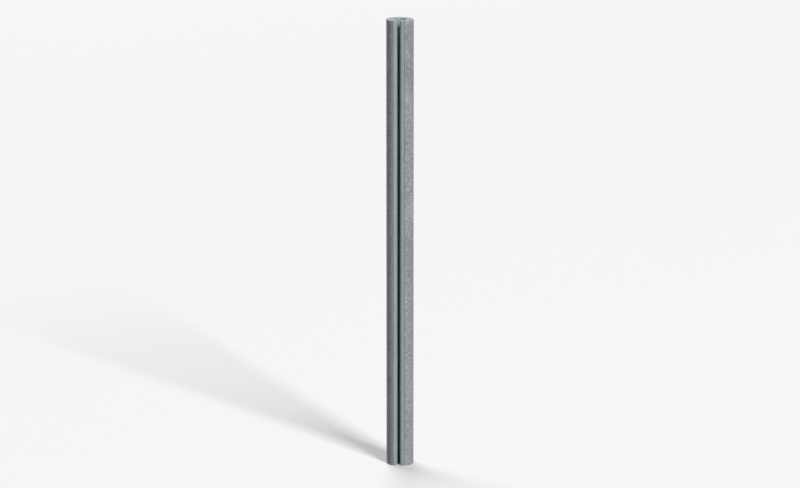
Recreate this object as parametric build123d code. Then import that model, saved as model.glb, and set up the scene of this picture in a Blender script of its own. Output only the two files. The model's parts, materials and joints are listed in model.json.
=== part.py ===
from build123d import *
from math import asin, degrees
import os

# Clip-on spoke reflector: a split plastic tube with retroreflective film wrapped round it.
# The slit is pressed over a wheel spoke, and the tube springs shut behind it.
# The sleeve stands round the Z axis on its square-cut end at Z = 0, with its slit towards -Y.
# Sizes are in millimetres.

# Sleeve: tube and film are cut off together, so their ends are flush
LENGTH = 75.0

# Spoke that the sleeve clips onto
SPOKE_DIAMETER = 2.0
SPOKE_CLEARANCE = 0.05  # radial gap round the spoke

# Tube
TUBE_WALL = 1.05
SLIT_WIDTH = 0.45
LIP_RADIUS = 0.45  # outer edges of the slit, rounded to lead the spoke in
THROAT_RADIUS = 0.1  # inner edges of the slit, where it opens into the bore

# Film
FILM_THICKNESS = 0.15
FILM_SETBACK = 0.1  # bare tube between a lip's rounding and the film's edge

# Radii from the spoke's middle outwards
BORE_RADIUS = SPOKE_DIAMETER / 2 + SPOKE_CLEARANCE
TUBE_RADIUS = BORE_RADIUS + TUBE_WALL
FILM_RADIUS = TUBE_RADIUS + FILM_THICKNESS


def slit_edges(tube):
    """The tube's upright edges, from its front to its middle. They all lie on the slit and its lips."""
    return tube.edges().filter_by(Axis.Z).sort_by(Axis.Y)


def clip_tube():
    """Round tube with the spoke's bore, split along its front, with rounded lips and throat."""
    slit = Rectangle(SLIT_WIDTH, TUBE_RADIUS, align=(Align.CENTER, Align.MAX))
    tube = extrude(Circle(TUBE_RADIUS) - Circle(BORE_RADIUS) - slit, LENGTH)
    tube = fillet(slit_edges(tube)[:2], LIP_RADIUS)
    return fillet(slit_edges(tube)[-2:], THROAT_RADIUS)


def reflective_film():
    """Thin band glued round the tube. Each edge stops just short of where a lip's rounding starts."""
    lip_angle = asin((SLIT_WIDTH / 2 + LIP_RADIUS) / (TUBE_RADIUS - LIP_RADIUS))
    edge_angle = degrees(lip_angle + FILM_SETBACK / TUBE_RADIUS)
    wrap = (edge_angle - 90, 360 - 2 * edge_angle)
    inside = CenterArc((0, 0), TUBE_RADIUS, *wrap)
    outside = CenterArc((0, 0), FILM_RADIUS, *wrap)
    edges = [Line(inside @ end, outside @ end) for end in (0, 1)]
    return extrude(make_face([inside, outside, *edges]), LENGTH)


os.makedirs("parts", exist_ok=True)
for name, piece in {"clip_tube": clip_tube(), "reflective_film": reflective_film()}.items():
    export_step(piece, f"parts/{name}.step")
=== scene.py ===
import json
from math import asin, ceil, pi, radians

import bpy
import numpy as np
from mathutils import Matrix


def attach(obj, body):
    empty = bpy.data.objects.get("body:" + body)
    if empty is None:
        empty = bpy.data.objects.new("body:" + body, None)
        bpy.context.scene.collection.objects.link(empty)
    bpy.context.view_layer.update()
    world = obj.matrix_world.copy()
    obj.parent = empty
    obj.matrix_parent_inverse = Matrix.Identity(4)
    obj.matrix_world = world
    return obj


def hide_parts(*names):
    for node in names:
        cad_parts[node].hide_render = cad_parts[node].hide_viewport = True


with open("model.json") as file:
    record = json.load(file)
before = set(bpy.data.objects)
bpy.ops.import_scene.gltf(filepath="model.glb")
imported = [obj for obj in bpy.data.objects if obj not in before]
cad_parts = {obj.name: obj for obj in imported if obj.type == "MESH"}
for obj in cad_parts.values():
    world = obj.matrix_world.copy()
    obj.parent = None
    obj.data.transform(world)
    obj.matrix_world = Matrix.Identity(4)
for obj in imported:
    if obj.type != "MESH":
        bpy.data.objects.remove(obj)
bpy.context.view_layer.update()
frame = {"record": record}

# Clip tube
# One extrusion of greenish grey plastic, split down its front and cut off square at both ends.
# Its bore takes the spoke, and the rounded lips of its slit lead the spoke in.
MM = 0.001  # a millimetre, in metres
spoke_bore = frame["record"]["mounts"][0]["dims"]  # the first mount is the bore
sleeve_length = spoke_bore["length_mm"] * MM
bore_radius = spoke_bore["r_mm"] * MM
tube_wall = 1.05 * MM
tube_radius = bore_radius + tube_wall
slit_width = 0.45 * MM
lip_radius = 0.45 * MM
throat_radius = 0.1 * MM
tube_end_rounding = 0.04 * MM
round_steps = 72  # along an arc from the slit to the back
corner_steps = 12  # along a rounded corner
end_rows = 6  # over the rounding of a cut end
length_rows = 160  # from one end's rounding to the other's


def facing(turn):
    """Arrows seen from above, as x and y. Turn 0 faces -Y, out of the slit, and a quarter turn faces +X."""
    return np.stack((np.sin(turn), -np.cos(turn)), axis=-1)


def bend(middle, radius, start, end, steps, to_the_end=False):
    """One arc of a section: its middle plus its radius times the arrow at each turn from start to end.
    The arrows point out of the material, so a hollow arc has a radius below zero. The arc stops one step
    short, where the next arc starts, unless to_the_end says that it is the last."""
    arrows = facing(np.linspace(start, end, steps, endpoint=to_the_end))
    return middle + radius * arrows, arrows


def both_halves(*bends):
    """Joins arcs from the slit's right round to the back, then adds their mirror image on the left."""
    points, arrows = (np.concatenate(parts) for parts in zip(*bends))
    left = np.array((-1, 1))
    return np.concatenate((points, points[-2::-1] * left)), np.concatenate((arrows, arrows[-2::-1] * left))


def rows_up(rounding):
    """The heights of a band's rows, from its lower cut end to its upper one, and how far each row is inset.
    Over an end's rounding both follow a quarter circle, and in between the inset is nothing."""
    quarter = np.linspace(0, pi / 2, end_rows)
    end_heights = rounding * (1 - np.cos(quarter))
    end_insets = rounding * (1 - np.sin(quarter))
    straight = np.linspace(rounding, sleeve_length - rounding, length_rows)[1:-1]
    heights = np.concatenate((end_heights, straight, sleeve_length - end_heights[::-1]))
    insets = np.concatenate((end_insets, np.zeros_like(straight), end_insets[::-1]))
    return heights, insets


def corners_of(rows, columns):
    """The row and the column of each face's four corners, for faces in so many rows and columns."""
    row, column = np.divmod(np.arange(rows * columns)[:, None], columns)
    return row + (0, 0, 1, 1), column + (0, 1, 1, 0)


def set_in(shares, rectangle):
    """Shares of a rectangle's width and height as places: its low corner plus the shares of its size."""
    low, high = np.array(rectangle)
    return low + shares * (high - low)


map_name = "OFBake"  # the name of the pieces' own flat map
map_of_lengths = ((0, 0.004), (1, 0.93))  # its low corner and its high corner
map_of_upper_end = ((0, 0.94), (0.49, 0.996))
map_of_lower_end = ((0.51, 0.94), (1, 0.996))


def lay_flat(mesh, points, rows, lengths, inside_share):
    """Lays a band out on a map, cut across into lengths that stand side by side. A corner's place in its
    length is how far it is round the section, where the inside counts for only a share, and how many rows
    up it is. The two cut ends lie in a strip above the lengths."""
    columns = len(points)
    steps = np.linalg.norm(np.diff(points, axis=0, append=points[:1]), axis=1)
    steps[columns // 2:-1] *= inside_share
    around = np.append(0, np.cumsum(steps)) / np.sum(steps)
    rows_each = ceil(rows / lengths)
    row, column = corners_of(rows, columns)
    length = row[:, :1] // rows_each
    sides = np.dstack(((length + around[column]) / lengths, row / rows_each - length))
    across_end = columns // 2 - 1
    inwards, column = corners_of(1, across_end)
    end = np.dstack((column / across_end, inwards))
    flat = (set_in(sides, map_of_lengths), set_in(end, map_of_upper_end), set_in(end, map_of_lower_end))
    places = np.concatenate(flat).astype(np.float32)
    mesh.uv_layers.new(name=map_name).uv.foreach_set("vector", places.ravel())


def placed(name, data):
    """A new object in the scene, made of that mesh, camera or lamp."""
    made = bpy.data.objects.new(name, data)
    bpy.context.scene.collection.objects.link(made)
    return made


def split_band(name, outside, inside, rounding, cut_along=False, lengths=1, inside_share=1.0):
    """A C-shaped section carried up the sleeve: a point is its place in the section, less its row's inset
    times its arrow, at its row's height. The outside and the inside have as many points as each other,
    from the slit's right to its left. The attribute cut is 1 on the cut ends, and with cut_along also on
    the long edges and the inside. The last two values are for lay_flat."""
    heights, insets = rows_up(rounding)
    points, arrows = (np.concatenate((outer, inner[::-1])) for outer, inner in zip(outside, inside))
    across = points - insets[:, None, None] * arrows
    upward = np.broadcast_to(heights[:, None], across.shape[:2])
    places = np.dstack((across, upward))

    # Faces all round between one row and the next, and from the outside to the inside over each end
    rows = len(heights) - 1
    columns = len(points)
    row, column = corners_of(rows, columns)
    sides = row * columns + column % columns
    inwards, column = corners_of(1, columns // 2 - 1)
    lower_end = np.where(inwards, columns - 1 - column, column)
    upper_end = lower_end + rows * columns
    faces = np.concatenate((sides, upper_end, lower_end[:, ::-1]))
    mesh = bpy.data.meshes.new(name)
    mesh.from_pydata(places.reshape(-1, 3).tolist(), [], faces.tolist())
    mesh.polygons.foreach_set("use_smooth", np.arange(len(faces)) < len(sides))
    lay_flat(mesh, points, rows, lengths, inside_share)

    # An arrow goes straight out from the axis on the outside, and aside or inwards elsewhere
    straight_out = np.sum(arrows * points, axis=1) / np.linalg.norm(points, axis=1)
    edge_share = 1 - np.clip(straight_out, 0, 1) if cut_along else np.zeros(columns)
    cut_share = np.maximum(insets[:, None] / rounding, edge_share)
    cut = mesh.attributes.new("cut", "FLOAT", "POINT")
    cut.data.foreach_set("value", cut_share.astype(np.float32).ravel())
    return placed(name, mesh)


# The outside is a rounded lip, then the round of the tube. The inside is a rounded throat, then the bore
lip_turn = asin((slit_width / 2 + lip_radius) / (tube_radius - lip_radius))
throat_turn = asin((slit_width / 2 + throat_radius) / (bore_radius + throat_radius))
lip_middle = (tube_radius - lip_radius) * facing(lip_turn)
throat_middle = (bore_radius + throat_radius) * facing(throat_turn)
tube_outside = both_halves(
    bend(lip_middle, lip_radius, -pi / 2, lip_turn, corner_steps),
    bend(0, tube_radius, lip_turn, pi, round_steps, to_the_end=True),
)
tube_inside = both_halves(
    bend(throat_middle, throat_radius, -pi / 2, throat_turn - pi, corner_steps),
    bend(0, -bore_radius, throat_turn - pi, 0, round_steps, to_the_end=True),
)
split_tube = split_band("split_tube", tube_outside, tube_inside, tube_end_rounding)

# Fine lines from the die run up its sides, and its dull ends have the marks of the knife
tube_dark = (0.26, 0.315, 0.315, 1)
tube_light = (0.328, 0.387, 0.385, 1)
tube_cut_dark = (0.252, 0.297, 0.294, 1)
tube_cut_light = (0.308, 0.359, 0.356, 1)
drawn_roughness = (0.28, 0.42)
sliced_roughness = (0.75, 0.95)
die_line_size = (0.12 * MM, 0.12 * MM, 10 * MM)
knife_mark_size = (3 * MM, 0.06 * MM, 0.06 * MM)
tube_cloud_size = 1.6 * MM
die_line_weight = 0.5
tube_cloud_weight = 0.5
mark_depth = 0.01 * MM
mark_strength = 0.7
plastic_ior = 1.5
noise_detail = 2.0
noise_low = 0.3  # noise gathers round its middle, and hardly passes these
noise_high = 0.7
darkest_tone = 0.1  # tones past these are as dark or as light as the material gets
lightest_tone = 0.9


def feed(tree, made, inputs):
    """Gives a shader node's sockets their values, or links them to other nodes' outputs."""
    for socket, value in inputs.items():
        if isinstance(value, bpy.types.NodeSocket):
            tree.links.new(value, made.inputs[socket])
        else:
            made.inputs[socket].default_value = value


def node(tree, kind, inputs, **settings):
    """Adds a shader node of that kind, with its inputs and its own settings."""
    made = tree.nodes.new("ShaderNode" + kind)
    for setting, value in settings.items():
        setattr(made, setting, value)
    feed(tree, made, inputs)
    return made


def new_material(name):
    """A new material, its node tree and its surface shader."""
    material = bpy.data.materials.new(name)
    material.use_nodes = True
    return material, material.node_tree, material.node_tree.nodes["Principled BSDF"]


def on_the_piece(tree):
    """The place of a point on its piece, which patterns read."""
    return node(tree, "TexCoord", {}).outputs["Object"]


def where_cut(tree):
    """The share of a cut at a point, from its mesh."""
    return node(tree, "Attribute", {}, attribute_name="cut").outputs["Fac"]


def blotches(tree, size):
    """Soft noise from 0 to 1, with spots of that size, which is one number or three for X, Y and Z."""
    spots = node(tree, "Mapping", {"Vector": on_the_piece(tree), "Scale": 1 / np.broadcast_to(size, 3)})
    noise = node(tree, "TexNoise", {"Vector": spots.outputs[0], "Scale": 1.0, "Detail": noise_detail})
    spread = {"Value": noise.outputs[0], "From Min": noise_low, "From Max": noise_high}
    return node(tree, "MapRange", spread).outputs["Result"]


def weighed(tree, *patterns):
    """The sum of patterns, each times its own weight."""
    total = 0.0
    for pattern, weight in patterns:
        total = node(tree, "Math", {0: pattern, 1: weight, 2: total}, operation="MULTIPLY_ADD").outputs[0]
    return total


def between(tree, share, low, high):
    """A number that goes from low to high as the share goes from 0 to 1. Each of them may be a pattern too.
    They are sockets 2 and 3 of the node, which hold its numbers."""
    return node(tree, "Mix", {0: share, 2: low, 3: high}).outputs[0]


def mixed(tree, share, first, second):
    """The first colour where the share is 0 and the second where it is 1. They are sockets 6 and 7 of the
    node, which hold its colours."""
    return node(tree, "Mix", {0: share, 6: first, 7: second}, data_type="RGBA").outputs[2]


def shades(tree, tone, *colours):
    """A colour that goes through the colours in even steps from the darkest tone to the lightest."""
    ramp = node(tree, "ValToRGB", {"Fac": tone})
    elements = ramp.color_ramp.elements
    while len(elements) < len(colours):
        elements.new(1)
    positions = np.linspace(darkest_tone, lightest_tone, len(colours))
    for element, position, colour in zip(elements, positions, colours):
        element.position = position
        element.color = colour
    return ramp.outputs["Color"]


tube_material, tree, surface = new_material("tube_plastic")
die_lines = blotches(tree, die_line_size)
knife_marks = blotches(tree, knife_mark_size)
clouds = blotches(tree, tube_cloud_size)
cut = where_cut(tree)
tone = weighed(tree, (die_lines, die_line_weight), (clouds, tube_cloud_weight))
plastic = shades(tree, tone, tube_dark, tube_light)
drawn = between(tree, die_lines, *drawn_roughness)
sliced = between(tree, knife_marks, *sliced_roughness)
cut_plastic = mixed(tree, knife_marks, tube_cut_dark, tube_cut_light)
marks = between(tree, cut, die_lines, knife_marks)
bump = node(tree, "Bump", {"Height": marks, "Strength": mark_strength, "Distance": mark_depth})
feed(tree, surface, {
    "Base Color": mixed(tree, cut, plastic, cut_plastic),
    "Roughness": between(tree, cut, drawn, sliced),
    "IOR": plastic_ior,
    "Normal": bump.outputs["Normal"],
})
split_tube.data.materials.append(tube_material)
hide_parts("clip_tube")
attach(split_tube, "root")

# Reflective film
# Grey film with a surface of fine glass beads, glued round the tube from one lip to the other.
# It is trimmed beside each lip and cut off flush with the tube at both ends.
film_thickness = 0.15 * MM
film_setback = 0.1 * MM
film_corner = 0.03 * MM
film_end_rounding = 0.02 * MM
film_lengths = 2  # side by side on the film's map, so that it has room for the grain
glued_share = 0.1  # of its width that the hidden, glued side has on that map
film_radius = tube_radius + film_thickness

# The outside is a rounded edge, then the round of the film. The inside is the glued side against the tube
film_turn = lip_turn + film_setback / tube_radius
corner_turn = film_turn + asin(film_corner / (film_radius - film_corner))
corner_middle = (film_radius - film_corner) * facing(corner_turn)
film_outside = both_halves(
    bend(corner_middle, film_corner, film_turn - pi / 2, corner_turn, corner_steps),
    bend(0, film_radius, corner_turn, pi, round_steps, to_the_end=True),
)
film_inside = both_halves(
    bend(0, -tube_radius, film_turn - pi, 0, corner_steps + round_steps, to_the_end=True),
)
film_band = split_band(
    "film_band", film_outside, film_inside, film_end_rounding,
    cut_along=True, lengths=film_lengths, inside_share=glued_share,
)

# Its trimmed edges wander a little, and come no nearer to the lips than the setback
trim_wander = 0.06 * MM
right_waves = ((46 * MM, 0.6), (19 * MM, 2.1), (7 * MM, 4.0))
left_waves = ((53 * MM, 3.3), (16 * MM, 0.2), (8 * MM, 5.1))


def uneven_trim(mesh, most, *waves_of_sides):
    """Lets a band's right and left edges wander back from the slit. Each point slides round the Z axis by
    the most, times a level from 0 to 1 that follows the mean of its side's sine waves at its height, times
    a share that falls from 1 at the front to 0 at the back. A wave is its length and its angle at the
    foot."""
    places = np.empty(3 * len(mesh.vertices))
    mesh.vertices.foreach_get("co", places)
    x, y, z = places.reshape(-1, 3).T
    right, left = (
        np.mean([np.sin(2 * pi * z / length + start) for length, start in waves], axis=0)
        for waves in waves_of_sides
    )
    level = (1 + np.where(x > 0, right, left)) / 2
    radius = np.hypot(x, y)
    turn = np.arctan2(x, -y)
    share = (1 + np.cos(turn)) / 2
    turn += np.sign(x) * most / radius * level * share
    moved = np.column_stack((radius[:, None] * facing(turn), z))
    mesh.vertices.foreach_set("co", moved.ravel())


uneven_trim(film_band.data, trim_wander, right_waves, left_waves)

# Beads of many greys and a few painted glints, with faint clouds and patches that lean to green or violet
film_dark = (0.092, 0.101, 0.112, 1)
film_middle = (0.258, 0.28, 0.308, 1)
film_light = (0.49, 0.52, 0.56, 1)
film_cut_dark = (0.185, 0.198, 0.216, 1)
film_cut_light = (0.255, 0.274, 0.3, 1)
# a few beads get this lighter colour as a painted glint of light off the glass
painted_glint_colour = (0.68, 0.71, 0.75, 1)
painted_glint_share = 0.008
bead_size = 0.085 * MM
bead_relief = 0.02 * MM
bead_strength = 0.4
bead_roughness = (0.5, 0.68)
film_ior = 1.45
speckle_size = 0.18 * MM
film_cloud_size = 5 * MM
bead_weight = 0.35
speckle_weight = 0.5
film_cloud_weight = 0.15
tint_size = 1.1 * MM
tint_hues = (0.445, 0.555)  # a hue of 0.5 leaves the colour as it is
bloom_size = 0.7 * MM
bloom_saturations = (0.7, 1.3)  # and so does a saturation of 1
film_material, tree, surface = new_material("reflective_film")
beads = node(tree, "TexVoronoi", {"Vector": on_the_piece(tree), "Scale": 1 / bead_size}).outputs
bead_tone = node(tree, "SeparateColor", {"Color": beads["Color"]}).outputs
speckle = blotches(tree, speckle_size)
clouds = blotches(tree, film_cloud_size)
tint = between(tree, blotches(tree, tint_size), *tint_hues)
bloom = between(tree, blotches(tree, bloom_size), *bloom_saturations)
cut = where_cut(tree)
grain = ((bead_tone["Red"], bead_weight), (speckle, speckle_weight), (clouds, film_cloud_weight))
greys = shades(tree, weighed(tree, *grain), film_dark, film_middle, film_light)
tinted = node(tree, "HueSaturation", {"Color": greys, "Hue": tint, "Saturation": bloom}).outputs["Color"]
# The few beads past this share take the painted glint colour in place of their grey
is_painted_glint = node(tree, "Math", {0: bead_tone["Green"], 1: 1 - painted_glint_share}, operation="GREATER_THAN")
beads_and_painted_glints = mixed(tree, is_painted_glint.outputs[0], tinted, painted_glint_colour)
cut_film = mixed(tree, speckle, film_cut_dark, film_cut_light)
bead_height = between(tree, beads["Distance"], 1.0, 0.0)
bump = node(tree, "Bump", {"Height": bead_height, "Strength": bead_strength, "Distance": bead_relief})
feed(tree, surface, {
    "Base Color": mixed(tree, cut, beads_and_painted_glints, cut_film),
    "Roughness": between(tree, bead_tone["Blue"], *bead_roughness),
    "IOR": film_ior,
    "Normal": bump.outputs["Normal"],
})
film_band.data.materials.append(film_material)
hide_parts("reflective_film")
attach(film_band, "root")

# Floor
# A sheet of pale card under the sleeve, which fades into the white room further out. It looks near white,
# with the shadow kept, and throws back less light than that, so that the sleeve's sides stay shaded.
floor_half = 1.4
floor_whole = 0.6  # as far out as this from the sleeve's foot
floor_gone = 1.3
floor_seen = (0.82, 0.82, 0.82, 1)
floor_thrown_back = (0.2, 0.2, 0.2, 1)
floor_roughness = 0.9
floor_shine = 0.1
corners = np.array(((-1, -1, 0), (1, -1, 0), (1, 1, 0), (-1, 1, 0))) * floor_half
floor_mesh = bpy.data.meshes.new("floor")
floor_mesh.from_pydata(corners.tolist(), [], [(0, 1, 2, 3)])
floor = placed("floor", floor_mesh)


def seen_directly(tree):
    """1 for what the camera sees, straight or in gloss or glass, and 0 for light on dull surfaces."""
    path = node(tree, "LightPath", {}).outputs
    seen = node(tree, "Math", {0: path["Is Camera Ray"], 1: path["Is Glossy Ray"]}, operation="MAXIMUM")
    seen = node(tree, "Math", {0: seen.outputs[0], 1: path["Is Transmission Ray"]}, operation="MAXIMUM")
    return seen.outputs[0]


card, tree, surface = new_material("pale_card")
distance = node(tree, "VectorMath", {0: on_the_piece(tree)}, operation="LENGTH").outputs["Value"]
fade = {"Value": distance, "From Min": floor_gone, "From Max": floor_whole}
feed(tree, surface, {
    "Base Color": mixed(tree, seen_directly(tree), floor_thrown_back, floor_seen),
    "Roughness": floor_roughness,
    "Specular IOR Level": floor_shine,
    "Alpha": node(tree, "MapRange", fade, interpolation_type="SMOOTHSTEP").outputs["Result"],
})
floor_mesh.materials.append(card)

# Camera
# It looks at the front from a little above and a little to the right, so the slit is left of the middle.
# Its lens is long, so the sleeve hardly narrows towards its foot.
camera_turn = radians(9)
camera_rise = radians(13)
camera_distance = 0.55
focal_length = 150  # in millimetres, as on a lens
nearest_seen = 0.01
sleeve_middle = np.array((0, 0, sleeve_length / 2))


def aimed(name, data, turn, rise, distance):
    """Adds a camera or lamp that looks at the sleeve's middle. Its place is the middle plus the distance
    times the arrow at that turn, tipped up from level by the rise."""
    made = placed(name, data)
    made.location = sleeve_middle + distance * np.append(np.cos(rise) * facing(turn), np.sin(rise))
    made.rotation_euler = (pi / 2 - rise, 0, turn)
    return made


lens = bpy.data.cameras.new("camera")
lens.lens = focal_length
lens.clip_start = nearest_seen
bpy.context.scene.camera = aimed("camera", lens, camera_turn, camera_rise, camera_distance)

# Light
# A soft lamp in front and to the right shades the round form. A wider one behind and to the left lights the
# floor and the sleeve's far side, and an even white room fills in the rest.
lamp_distance = 3.0
key_level = 0.98
key_turn = camera_turn + radians(32)
key_rise = radians(32)
key_size = 0.75
back_level = 0.75
back_turn = camera_turn + radians(201)
back_rise = radians(42)
back_size = 2.2
room_colour = (1, 1, 1, 1)
room_level = 0.18
room_seen = 1.0


def soft_lamp(name, level, turn, rise, size):
    """A square lamp that lights a white surface facing it to that level: its power is the level, times pi
    squared, times its distance squared."""
    lamp = bpy.data.lights.new(name, "AREA")
    lamp.size = size
    lamp.energy = level * pi**2 * lamp_distance**2
    aimed(name, lamp, turn, rise, lamp_distance)


soft_lamp("key_lamp", key_level, key_turn, key_rise, key_size)
soft_lamp("back_lamp", back_level, back_turn, back_rise, back_size)
room = bpy.data.worlds.new("room")
room.use_nodes = True
tree = room.node_tree
feed(tree, tree.nodes["Background"], {
    "Color": room_colour,
    "Strength": between(tree, seen_directly(tree), room_level, room_seen),
})
bpy.context.scene.world = room
bpy.context.scene.view_settings.view_transform = "Standard"
